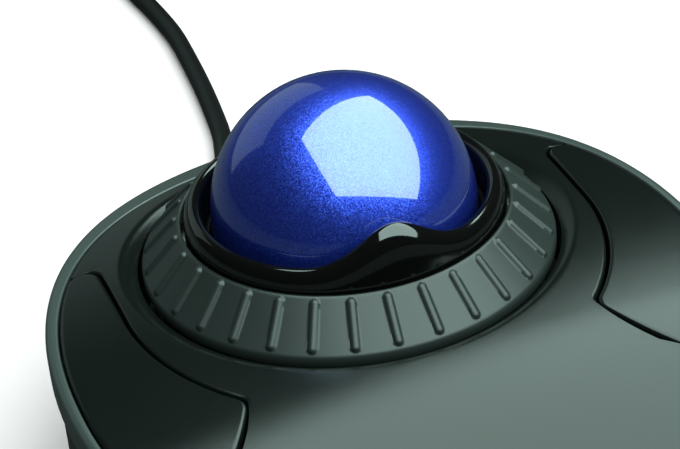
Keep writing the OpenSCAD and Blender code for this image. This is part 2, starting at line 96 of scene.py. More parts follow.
def deck_z(x, y, lift=0.0):
    """Height of the deck: a circular crown across X, whose radius at each Y is the crown's radius
    less the drop, plus a lift for a surface that stands proud."""
    return CREST_Z - CROWN_R + np.sqrt((CROWN_R + lift - drop(y - CREST_Y)) ** 2 - x**2)


def oval(size, t, grow=0.0):
    """Point at angle t, in degrees, of the superellipse |x/a|^n + |y/b|^n = 1, grown evenly."""
    a, b, n, y = size
    c, s = np.cos(np.radians(t)), np.sin(np.radians(t))
    px = (a + grow) * np.sign(c) * np.abs(c) ** (2 / n)
    py = (b + grow) * np.sign(s) * np.abs(s) ** (2 / n) + y
    return np.stack([px, py], -1)


def deck_outline(t):
    """Point at angle t, in degrees, of the deck's outline, half the joint inside its superellipse."""
    return oval(DECK_OVAL, t, -JOINT)


def arc(centre, r, a0, a1, n):
    """n points on a circle from angle a0 to a1, in degrees."""
    t = np.radians(np.linspace(a0, a1, n))
    return centre + r * np.stack([np.cos(t), np.sin(t)], -1)


def angle(v):
    """Angle of a plan vector, in degrees."""
    return math.degrees(math.atan2(v[1], v[0]))


def fillets():
    """Centres of the three corner arcs of the left button: A where the seam meets the near end,
    B where the near end meets the outline, and T at the far tip, with the outline angles of B
    and T. A lies where two circles cross: the near end's, less the corner radius, and the seam's,
    plus it. B and T lie on the outline moved in by the corner radius. Past the ball's side the
    seam leaves its circle and runs straight to the lead side, so T lies beside that line."""
    d = NEAR_CENTRE - SEAM_CENTRE
    length = np.linalg.norm(d)
    r1, r2 = NEAR_R - CORNER_R, SEAM_R + CORNER_R
    along = (r1**2 - r2**2 + length**2) / (2 * length)
    e = -d / length
    side = np.array([e[1], -e[0]])
    corner_a = NEAR_CENTRE + along * e + math.sqrt(r1**2 - along**2) * side
    t = np.linspace(90, 270, 7201)
    edge = deck_outline(t)
    normal = outward(edge, closed=False, left=False)
    inner = edge - CORNER_R * normal
    to_near = np.linalg.norm(inner - NEAR_CENTRE, axis=1) - r1
    to_seam = inner[:, 0] + r2
    near_half = np.where(t > 180)[0]
    ib = near_half[np.argmin(np.abs(to_near[near_half]))]
    far_half = np.where(t < 170)[0]
    it = far_half[np.argmin(np.abs(to_seam[far_half]))]
    return corner_a, inner[ib], inner[it], t[ib], t[it]


def outward(p, closed=True, left=True):
    """Unit normals of a plan polyline, on the left or right of its direction."""
    if closed:
        d = np.roll(p, -1, 0) - np.roll(p, 1, 0)
    else:
        d = np.gradient(p, axis=0)
    n = np.stack([-d[:, 1], d[:, 0]], -1) * (1 if left else -1)
    return n / np.linalg.norm(n, axis=1, keepdims=True)


def resample(p, n):
    """n points at equal steps along an open polyline."""
    s = np.concatenate([[0], np.cumsum(np.linalg.norm(np.diff(p, axis=0), axis=1))])
    u = np.linspace(0, s[-1], n)
    return np.stack([np.interp(u, s, p[:, k]) for k in range(p.shape[1])], -1)


def button_sides():
    """The left button's outline as four open polylines, clockwise: seam, near end, outer edge and
    tip. Each corner is split at the middle of its arc."""
    a, b, tip, tb, tt = fillets()
    a0, a1 = angle(SEAM_CENTRE - a), angle(a - NEAR_CENTRE)
    b0, b1 = angle(b - NEAR_CENTRE), angle(deck_outline(tb) - b)
    t0, t1 = angle(deck_outline(tt) - tip), 0.0
    b1 -= 360 * (b1 > b0)
    seam1 = angle(a - SEAM_CENTRE) % 360
    am, bm = (a0 + a1) / 2, (b0 + b1) / 2
    cut0, cut1 = (t0 + (t1 - t0) * f for f in TIP_SPLIT)
    run = np.linspace(tip + [CORNER_R, 0], SEAM_CENTRE - [SEAM_R, 0], 40)
    seam = np.concatenate([arc(tip, CORNER_R, cut1, t1, 8), run,
                           arc(SEAM_CENTRE, SEAM_R, 180, seam1, 90), arc(a, CORNER_R, a0, am, 12)])
    near = np.concatenate([arc(a, CORNER_R, am, a1, 12), arc(NEAR_CENTRE, NEAR_R, a1, b0, 60),
                           arc(b, CORNER_R, b0, bm, 12)])
    edge = np.concatenate([arc(b, CORNER_R, bm, b1, 12), deck_outline(np.linspace(tb, tt, 160)),
                           arc(tip, CORNER_R, t0, cut0, 8)])
    end = arc(tip, CORNER_R, cut0, cut1, 16)
    return seam, near, edge, end


def deck_edge(gap=0.5):
    """Outer edge of the deck's left half, from the palm's middle to the lead side's middle, in
    three runs: palm outline, the button's cut-out grown by the gap, and the lead side's outline."""
    a, b, tip, tb, tt = fillets()
    t = np.linspace(180, 270, 3001)
    palm = deck_outline(t)
    r = CORNER_R + gap
    palm = palm[(np.linalg.norm(palm - b, axis=1) > r) & (t > tb)][::-1]
    t = np.linspace(180, 90, 3001)
    far = deck_outline(t)
    far = far[(np.linalg.norm(far - tip, axis=1) > r) & (t < tt)]
    b0, b1 = angle(palm[-1] - b), angle(b - NEAR_CENTRE)
    a0, a1 = angle(a - NEAR_CENTRE), angle(SEAM_CENTRE - a)
    seam0 = angle(a - SEAM_CENTRE) % 360
    run = np.linspace(SEAM_CENTRE - [SEAM_R - gap, 0], tip + [r, 0], 60)
    t1 = angle(far[0] - tip)
    b0 += 360 * (b0 < b1 - 180) - 360 * (b0 > b1 + 180)
    cut = np.concatenate([arc(b, r, b0, b1, 8), arc(NEAR_CENTRE, NEAR_R + gap, b1, a0, 60),
                          arc(a, r, a0, a1, 16), arc(SEAM_CENTRE, SEAM_R - gap, seam0, 180, 100),
                          run, arc(tip, r, 0, t1, 16)])
    return palm, cut, far


# ---------------------------------------------------------------- mesh helpers


def add_mesh(name, verts, faces, merge=1e-6):
    """A mesh object from vertices in millimetres and quads or triangles; doubles are merged and
    normals made to point outwards."""
    mesh = bpy.data.meshes.new(name)
    mesh.from_pydata((np.asarray(verts, float) * MM).tolist(), [], [list(f) for f in faces])
    bm = bmesh.new()
    bm.from_mesh(mesh)
    bmesh.ops.remove_doubles(bm, verts=bm.verts, dist=merge)
    bmesh.ops.recalc_face_normals(bm, faces=bm.faces)
    bm.to_mesh(mesh)
    bm.free()
    mesh.polygons.foreach_set("use_smooth", np.ones(len(mesh.polygons), bool))
    mesh.update()
    obj = bpy.data.objects.new(name, mesh)
    bpy.context.scene.collection.objects.link(obj)
    return obj


def quads(rows, cols, wrap_rows=False, wrap_cols=False, start=0):
    """Quads of a grid of rows by cols points, with either direction joined to its start."""
    i = np.arange(rows if wrap_rows else rows - 1)[:, None]
    j = np.arange(cols if wrap_cols else cols - 1)[None, :]
    i2, j2 = (i + 1) % rows, (j + 1) % cols
    f = np.stack([i * cols + j, i * cols + j2, i2 * cols + j2, i2 * cols + j], -1)
    return f.reshape(-1, 4) + start


def grid_mesh(name, grid, wrap_rows=False, wrap_cols=False, merge=1e-6):
    """A mesh object from a (rows, cols, 3) array of points."""
    rows, cols = grid.shape[:2]
    return add_mesh(name, grid.reshape(-1, 3), quads(rows, cols, wrap_rows, wrap_cols), merge)


def lathe(name, profile, steps):
    """The profile, radius and height, carried round the ball's upright axis. It starts and ends on
    the axis, where its points merge into poles."""
    t = np.linspace(0, 2 * np.pi, steps, endpoint=False)[None, :, None]
    r, z = profile[:, 0][:, None, None], profile[:, 1][:, None, None]
    g = np.concatenate([r * np.cos(t), BALL_Y + r * np.sin(t), z + 0 * t], -1)
    return grid_mesh(name, g, wrap_cols=True)


def round_path(points, r, steps=4):
    """A closed profile whose corners are replaced by quadratic curves between the points that lie
    r from the corner on its two sides."""
    p = np.asarray(points, float)
    out = []
    for i, b in enumerate(p):
        a, c = p[i - 1], p[(i + 1) % len(p)]
        u = b + (a - b) / np.linalg.norm(a - b) * r
        v = b + (c - b) / np.linalg.norm(c - b) * r
        t = np.linspace(0, 1, steps)[:, None]
        out.append((1 - t) ** 2 * u + 2 * t * (1 - t) * b + t**2 * v)
    return np.concatenate(out)


def smooth_by_angle(obj, degrees=35):
    """Smooth shading with sharp edges above an angle."""
    mesh = obj.data
    mesh.polygons.foreach_set("use_smooth", np.ones(len(mesh.polygons), bool))
    mesh.set_sharp_from_angle(angle=math.radians(degrees))
    return obj


def cad_copy(node, name, degrees=35):
    """A merged copy of a CAD node's mesh, shaded smooth, that stands for the node."""
    src = frame["nodes"][node]
    mesh = src.data.copy()
    mesh.name = name
    mesh.transform(src.matrix_world)
    bm = bmesh.new()
    bm.from_mesh(mesh)
    bmesh.ops.remove_doubles(bm, verts=bm.verts, dist=2e-6)
    bmesh.ops.dissolve_limit(bm, angle_limit=math.radians(0.5), verts=bm.verts, edges=bm.edges)
    bm.to_mesh(mesh)
    bm.free()
    obj = bpy.data.objects.new(name, mesh)
    bpy.context.scene.collection.objects.link(obj)
    return smooth_by_angle(obj, degrees)


def settle(obj, body, slot, material, *nodes):
    """Gives a piece its material and body, and hides the CAD nodes it stands for. The slot is not used.
    """
    obj.data.materials.clear()
    obj.data.materials.append(material)
    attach(obj, body)
    if nodes:
        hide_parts(*nodes)
    return obj


# ---------------------------------------------------------------- finishes


FLOAT, VECTOR, COLOUR = "NodeSocketFloat", "NodeSocketVector", "NodeSocketColor"


def new_group(name, inputs, outputs):
    """A shader node group with typed inputs and outputs, and its node tree."""
    tree = bpy.data.node_groups.new(name, "ShaderNodeTree")
    for label, kind, value in inputs:
        s = tree.interface.new_socket(name=label, in_out="INPUT", socket_type=kind)
        if value is not None:
            s.default_value = value
    for label, kind in outputs:
        tree.interface.new_socket(name=label, in_out="OUTPUT", socket_type=kind)
    return tree, tree.nodes.new("NodeGroupInput"), tree.nodes.new("NodeGroupOutput")


def node(tree, kind, **values):
    """A node with its properties, and its inputs where the key starts with i_."""
    n = tree.nodes.new(kind)
    for key, value in values.items():
        if key.startswith("i_"):
            n.inputs[key[2:].replace("_", " ")].default_value = value
        else:
            setattr(n, key, value)
    return n


def grain_group():
    """Moulded grain: the height is fine noise. Slow noise plus 0.6 of the fine, less their middle
    value, times a drift, changes the tone by a factor and the roughness by a sum."""
    tree, i, o = new_group(
        "Moulded grain",
        [("Vector", VECTOR, None), ("Scale", FLOAT, 3000.0), ("Tone", COLOUR, (0.05, 0.05, 0.05, 1)),
         ("Drift", FLOAT, 0.12), ("Roughness", FLOAT, 0.5), ("Roughness drift", FLOAT, 0.08)],
        [("Colour", COLOUR), ("Roughness", FLOAT), ("Height", FLOAT)],
    )
    L = tree.links.new
    fine = node(tree, "ShaderNodeTexNoise", i_Detail=3.0, i_Roughness=0.6)
    L(i.outputs["Vector"], fine.inputs["Vector"])
    L(i.outputs["Scale"], fine.inputs["Scale"])
    slow = node(tree, "ShaderNodeTexNoise", i_Scale=60.0, i_Detail=4.0, i_Roughness=0.55)
    L(i.outputs["Vector"], slow.inputs["Vector"])
    speck = node(tree, "ShaderNodeMath", operation="ADD")
    L(slow.outputs["Fac"], speck.inputs[0])
    half = node(tree, "ShaderNodeMath", operation="MULTIPLY")
    half.inputs[1].default_value = 0.6
    L(fine.outputs["Fac"], half.inputs[0])
    L(half.outputs[0], speck.inputs[1])
    centred = node(tree, "ShaderNodeMath", operation="SUBTRACT")
    centred.inputs[1].default_value = 0.8
    L(speck.outputs[0], centred.inputs[0])
    amount = node(tree, "ShaderNodeMath", operation="MULTIPLY_ADD")
    amount.inputs[2].default_value = 1.0
    L(centred.outputs[0], amount.inputs[0])
    L(i.outputs["Drift"], amount.inputs[1])
    tone = node(tree, "ShaderNodeVectorMath", operation="SCALE")
    L(i.outputs["Tone"], tone.inputs[0])
    L(amount.outputs[0], tone.inputs["Scale"])
    L(tone.outputs[0], o.inputs["Colour"])
    rough = node(tree, "ShaderNodeMath", operation="MULTIPLY_ADD")
    L(centred.outputs[0], rough.inputs[0])
    L(i.outputs["Roughness drift"], rough.inputs[1])
    L(i.outputs["Roughness"], rough.inputs[2])
    L(rough.outputs[0], o.inputs["Roughness"])
    L(fine.outputs["Fac"], o.inputs["Height"])
    return tree


def flake_group():
    """Pearl flakes: small cells, each with its own random colour. Less a half and times the tilt it
    leans the normal, and its first channel mixes the deep colour with the bright one."""
    tree, i, o = new_group(
        "Pearl flakes",
        [("Vector", VECTOR, None), ("Scale", FLOAT, 9000.0), ("Deep", COLOUR, (0.01, 0.02, 0.3, 1)),
         ("Bright", COLOUR, (0.05, 0.1, 0.8, 1)), ("Tilt", FLOAT, 0.3)],
        [("Colour", COLOUR), ("Normal", VECTOR)],
    )
    L = tree.links.new
    cell = node(tree, "ShaderNodeTexVoronoi", feature="F1")
    L(i.outputs["Vector"], cell.inputs["Vector"])
    L(i.outputs["Scale"], cell.inputs["Scale"])
    shift = node(tree, "ShaderNodeVectorMath", operation="SUBTRACT")
    shift.inputs[1].default_value = (0.5, 0.5, 0.5)
    L(cell.outputs["Color"], shift.inputs[0])
    tilt = node(tree, "ShaderNodeVectorMath", operation="SCALE")
    L(shift.outputs[0], tilt.inputs[0])
    L(i.outputs["Tilt"], tilt.inputs["Scale"])
    geo = node(tree, "ShaderNodeNewGeometry")
    add = node(tree, "ShaderNodeVectorMath", operation="ADD")
    L(geo.outputs["Normal"], add.inputs[0])
    L(tilt.outputs[0], add.inputs[1])
    unit = node(tree, "ShaderNodeVectorMath", operation="NORMALIZE")
    L(add.outputs[0], unit.inputs[0])
    L(unit.outputs[0], o.inputs["Normal"])
    split = node(tree, "ShaderNodeSeparateColor")
    L(cell.outputs["Color"], split.inputs[0])
    mix = node(tree, "ShaderNodeMix", data_type="RGBA")
    L(split.outputs[0], mix.inputs["Factor"])
    L(i.outputs["Deep"], mix.inputs[6])
    L(i.outputs["Bright"], mix.inputs[7])
    L(mix.outputs[2], o.inputs["Colour"])
    return tree


def line_group():
    """Fine parallel lines, as on drawn metal, woven tape or a printed board: noise whose
    coordinates are stretched along one axis."""
    tree, i, o = new_group(
        "Drawn lines",
        [("Vector", VECTOR, None), ("Scale", FLOAT, 800.0), ("Stretch", VECTOR, (1.0, 0.02, 0.02))],
        [("Height", FLOAT)],
    )
    L = tree.links.new
    mapping = node(tree, "ShaderNodeVectorMath", operation="MULTIPLY")
    L(i.outputs["Vector"], mapping.inputs[0])
    L(i.outputs["Stretch"], mapping.inputs[1])
    noise = node(tree, "ShaderNodeTexNoise", i_Detail=3.0)
    L(mapping.outputs[0], noise.inputs["Vector"])
    L(i.outputs["Scale"], noise.inputs["Scale"])
    L(noise.outputs["Fac"], o.inputs["Height"])
    return tree


GROUPS = {}


def group(key):
    """A shader node group, built once."""
    if key not in GROUPS:
        GROUPS[key] = {"grain": grain_group, "flakes": flake_group, "lines": line_group}[key]()
    return GROUPS[key]


def finish(name, colour, rough=0.5, grain=3000.0, depth=0.05, drift=0.12, rough_drift=0.08,
           lines=None, **sockets):
    """A moulded or drawn finish: tone and roughness drift a little, and a fine grain or drawn
    lines give the bump. Other keys are sockets of the shader."""
    mat = bpy.data.materials.new(name)
    mat.use_nodes = True
    tree = mat.node_tree
    L = tree.links.new
    shader = tree.nodes["Principled BSDF"]
    coords = node(tree, "ShaderNodeTexCoord")
    g = node(tree, "ShaderNodeGroup", node_tree=group("grain"))
    g.inputs["Tone"].default_value = (*colour, 1)
    g.inputs["Scale"].default_value = grain
    g.inputs["Drift"].default_value = drift
    g.inputs["Roughness"].default_value = rough
    g.inputs["Roughness drift"].default_value = rough_drift
    L(coords.outputs["Object"], g.inputs["Vector"])
    L(g.outputs["Colour"], shader.inputs["Base Color"])
    L(g.outputs["Roughness"], shader.inputs["Roughness"])
    bump = node(tree, "ShaderNodeBump", i_Strength=depth, i_Distance=0.0001)
    if lines:
        n = node(tree, "ShaderNodeGroup", node_tree=group("lines"))
        n.inputs["Stretch"].default_value = lines
        L(coords.outputs["Object"], n.inputs["Vector"])
        L(n.outputs["Height"], bump.inputs["Height"])
    else:
        L(g.outputs["Height"], bump.inputs["Height"])
    L(bump.outputs["Normal"], shader.inputs["Normal"])
    for key, value in sockets.items():
        shader.inputs[key.replace("_", " ")].default_value = value
    return mat


def pearl_finish(name, deep, bright, tilt, rough):
    """Pearl under clear gloss: tilted flakes in the base and a smooth coat over them."""
    mat = bpy.data.materials.new(name)
    mat.use_nodes = True
    tree = mat.node_tree
    L = tree.links.new
    shader = tree.nodes["Principled BSDF"]
    coords = node(tree, "ShaderNodeTexCoord")
    g = node(tree, "ShaderNodeGroup", node_tree=group("flakes"))
    g.inputs["Deep"].default_value = (*deep, 1)
    g.inputs["Bright"].default_value = (*bright, 1)
    g.inputs["Tilt"].default_value = tilt
    L(coords.outputs["Object"], g.inputs["Vector"])
    L(g.outputs["Colour"], shader.inputs["Base Color"])
    L(g.outputs["Normal"], shader.inputs["Normal"])
    shader.inputs["Metallic"].default_value = 0.88
    shader.inputs["Roughness"].default_value = rough
    shader.inputs["Coat Weight"].default_value = 1.0
    shader.inputs["Coat Roughness"].default_value = 0.045
    shader.inputs["Coat IOR"].default_value = 1.75
    return mat


# ---------------------------------------------------------------- settings


class TrackballSizes(bpy.types.PropertyGroup):
    """Sizes that a user would change: millimetres, and metres for the lead's length."""

    lead_length: bpy.props.FloatProperty(
        name="Lead length", description="Real length of the lead, in metres", default=1.5,
        unit="LENGTH")
    lead_diameter: bpy.props.FloatProperty(
        name="Lead diameter", description="Diameter of the lead's jacket, in millimetres", default=3.6)
    bar_count: bpy.props.IntProperty(
        name="Ring bars", description="Raised bars on the scroll ring", default=31, min=12, max=48)
    bar_radius: bpy.props.FloatProperty(
        name="Bar radius", description="Radius of one raised bar, in millimetres", default=0.75)
    tongue_rise: bpy.props.FloatProperty(
        name="Tongue height", default=5.6,
        description="How far the collar rises in front of the ball, in millimetres")
    seam_round: bpy.props.FloatProperty(
        name="Seam rounding", default=0.4,
        description="Rounding of the edges along the button seams, in millimetres")
    button_proud: bpy.props.FloatProperty(
        name="Button height", default=0.25,
        description="How far a button stands above the deck, in millimetres")


def tone(label, value):
    """A colour setting with its default."""
    return bpy.props.FloatVectorProperty(
        name=label, description=f"Base colour: {label.lower()}", default=value, size=3,
        subtype="COLOR", min=0.0, max=1.0)


class TrackballColours(bpy.types.PropertyGroup):
    """Colours of the visible finishes."""

    deck: tone("Deck", (0.0030, 0.0040, 0.0036))
    button: tone("Buttons", (0.0026, 0.0036, 0.0032))
    band: tone("Trim band", (0.020, 0.026, 0.0245))
    case: tone("Lower case", (0.008, 0.011, 0.010))
    ring: tone("Ring grip", (0.0095, 0.0125, 0.0118))
    ball_deep: tone("Ball, deep", (0.012, 0.024, 0.36))
    ball_bright: tone("Ball, bright", (0.042, 0.088, 0.66))
    gloss: tone("Collar", (0.0015, 0.0016, 0.0015))
    jacket: tone("Lead jacket", (0.003, 0.0035, 0.0035))
    floor: tone("Floor", (0.62, 0.47, 0.50))


def sizes():
    """The scene's size settings."""
    return bpy.context.scene.trackball_sizes


def colours():
    """The scene's colour settings."""
    return bpy.context.scene.trackball_colours


# ---------------------------------------------------------------- stage and lead

CAMERA = {"distance": 0.400, "elevation": 31.03, "azimuth": -17.0, "roll": -6.24, "lens": 142.0,
          "shift": (-0.0061, -0.0305)}
SOFT_BOXES = [
    # name, centre from the ball, side direction, up direction, width, height, watts
    ("key_box", (0.067, -0.118, 0.687), (0.846, 0.257, -0.468), (-0.078, 0.926, 0.368),
     1.224, 1.281, 32.0),
    ("rear_box", (-0.26, 0.94, 0.34), (0.965, 0.262, 0.0), (0.09, -0.33, 0.94), 0.95, 0.62, 0.7),
]
BOX_TINT = (0.74, 1.0, 0.93)
ROOM_TINT, ROOM_STRENGTH = (0.9, 0.95, 1.0, 1), 0.03
FLOOR_HALF = 3.0  # metres
FLOOR_BOUNCE = 0.045


def placement(x, y, z, centre):
    """The matrix of an object whose axes point along x, y and z, at a centre in metres."""
    rows = [[*row, c] for row, c in zip(np.stack([x, y, z], 1), centre)]
    return Matrix([*rows, [0, 0, 0, 1]])


def seen_or_lit(tree, lit, seen, out):
    """Sends one shader to the camera and the other to every other ray."""
    path = node(tree, "ShaderNodeLightPath")
    mix = node(tree, "ShaderNodeMixShader")
    tree.links.new(path.outputs["Is Camera Ray"], mix.inputs["Fac"])
    tree.links.new(lit.outputs[0], mix.inputs[1])
    tree.links.new(seen.outputs[0], mix.inputs[2])
    tree.links.new(mix.outputs[0], tree.nodes[out].inputs["Surface"])


class TRACKBALL_OT_stage(bpy.types.Operator):
    """Floor, soft boxes, world light and camera"""

    bl_idname = "trackball.stage"
    bl_label = "Stage"

    def execute(self, context):
        scene = context.scene
        ball = np.array([0, BALL_Y, BALL_Z]) * MM
        self.floor(scene)
        for box in SOFT_BOXES:
            self.soft_box(scene, ball, *box)
        self.room(scene)
        self.camera(scene, ball)
        return {"FINISHED"}

    def floor(self, scene):
        """A flat square, seen bright; surfaces above it get only a little light back from it."""
        mesh = bpy.data.meshes.new("floor")
        s = FLOOR_HALF
        mesh.from_pydata([(-s, -s, 0), (s, -s, 0), (s, s, 0), (-s, s, 0)], [], [(0, 1, 2, 3)])
        floor = bpy.data.objects.new("floor", mesh)
        scene.collection.objects.link(floor)
        mat = finish("Pale desk", tuple(colours().floor), rough=0.6, grain=900.0, depth=0.02,
                     drift=0.01)
        dim = node(mat.node_tree, "ShaderNodeBsdfDiffuse", i_Color=(*[FLOOR_BOUNCE] * 3, 1))
        seen_or_lit(mat.node_tree, dim, mat.node_tree.nodes["Principled BSDF"], "Material Output")
        mesh.materials.append(mat)

    def soft_box(self, scene, ball, name, centre, side, up, width, height, watts):
        """A rectangular lamp whose own -Z faces the ball: its up direction is squared to its side
        direction, and the side is turned round where the cross product of the two points away."""
        light = bpy.data.lights.new(name, "AREA")
        light.shape = "RECTANGLE"
        light.size, light.size_y = width, height
        light.energy, light.color = watts, BOX_TINT
        x, y = np.array(side), np.array(up)
        x = x / np.linalg.norm(x)
        y = y - x * (x @ y)
        y = y / np.linalg.norm(y)
        z = np.cross(x, y)
        if z @ np.array(centre) < 0:
            x, z = -x, -z
        lamp = bpy.data.objects.new(name, light)
        lamp.matrix_world = placement(x, y, z, ball + np.array(centre))
        scene.collection.objects.link(lamp)

    def room(self, scene):
        """A white backdrop that lights the object only faintly."""
        world = bpy.data.worlds.new("Soft room")
        world.use_nodes = True
        tree = world.node_tree
        sky = tree.nodes["Background"]
        sky.inputs["Color"].default_value = ROOM_TINT
        sky.inputs["Strength"].default_value = ROOM_STRENGTH
        seen_or_lit(tree, sky, node(tree, "ShaderNodeBackground", i_Color=(1, 1, 1, 1)), "World Output")
        scene.world = world
        scene.view_settings.view_transform = "Standard"

    def camera(self, scene, ball):
        """Stands back from the ball along the direction of its azimuth and elevation, and rolls
        about that direction."""
        el, az = math.radians(CAMERA["elevation"]), math.radians(CAMERA["azimuth"])
        back = np.array([math.sin(az) * math.cos(el), -math.cos(az) * math.cos(el), math.sin(el)])
        right = np.array([math.cos(az), math.sin(az), 0.0])
        up = np.cross(back, right)
        roll = math.radians(CAMERA["roll"])
        x = right * math.cos(roll) + up * math.sin(roll)
        y = -right * math.sin(roll) + up * math.cos(roll)
        data = bpy.data.cameras.new("camera")
        data.lens, data.sensor_width = CAMERA["lens"], 36.0
        data.shift_x, data.shift_y = CAMERA["shift"]
        data.clip_start = 0.01
        camera = bpy.data.objects.new("camera", data)
        camera.matrix_world = placement(x, y, back, ball + back * CAMERA["distance"])
        scene.collection.objects.link(camera)
        scene.camera = camera


# Centrelines of the lead's two loose stretches: from the body to the coil, and on to the plug.
LEAD_ROUTE = [
    (0, 73.7, 9), (0, 76, 9), (0, 81, 8.4), (0.6, 87, 6.6), (2, 95, 3.6), (4, 103, 2.1),
    (6, 111, 1.8), (7.4, 121, 1.8), (8.5, 131, 1.8), (9.4, 142, 1.8), (10.0, 153, 1.8),
    (9.6, 164, 1.8), (8.6, 175, 1.8), (7.4, 186, 1.8), (6.6, 196, 1.8),
]
TAIL_ROUTE = [
    (21, 226, 12.9), (26, 231.5, 12.7), (31.5, 237, 11), (37, 242, 8), (43, 246.5, 4.6),
    (49, 249.3, 2.2), (55, 250, 1.8), (61, 248.4, 2.2), (65.3, 245, 3.2), (67, 241.2, 4), (67, 237, 4),
]
COIL_CENTRE = (31.0, 206.0)
COIL_R = 21.0
COIL_TURNS = 10.125


def coil_path(d, per_turn=32):
    """Centreline of the coil: three turns side by side in each layer, in from the outside, out
    again on the next layer, and in once more, clockwise from its left side. A step to the next
    turn or layer is a smooth ramp, f^2 (3 - 2f), over the last sixth of a turn."""
    radii = [COIL_R + d, COIL_R, COIL_R - d, COIL_R - d, COIL_R, COIL_R + d]
    places = np.array([(radii[k % 6], d / 2 + d * (k // 3)) for k in range(11)])
    turns = np.arange(0, COIL_TURNS + 1e-9, 1 / per_turn)
    k = np.minimum(turns.astype(int), 9)
    f = np.clip((turns - k - 5 / 6) * 6, 0, 1)
    f = f * f * (3 - 2 * f)
    rz = places[k] + (places[k + 1] - places[k]) * f[:, None]
    r, z = rz[:, 0], rz[:, 1]
    t = np.pi - 2 * np.pi * turns
    return np.stack([COIL_CENTRE[0] + r * np.cos(t), COIL_CENTRE[1] + r * np.sin(t), z], -1)


def smooth_path(p, per=6):
    """A curve through the points: on each span a cubic whose slope at a point is half the step
    from the point before it to the one after it."""
    p = np.asarray(p, float)
    q = np.concatenate([[2 * p[0] - p[1]], p, [2 * p[-1] - p[-2]]])
    t = (np.arange(per) / per)[None, :, None]
    a, b, c, d = (q[i:len(q) - 3 + i][:, None, :] for i in range(4))
    square, cube = 2 * a - 5 * b + 4 * c - d, 3 * b - a - 3 * c + d
    s = 0.5 * (2 * b + (c - a) * t + square * t**2 + cube * t**3)
    return np.concatenate([s.reshape(-1, 3), p[-1:]])


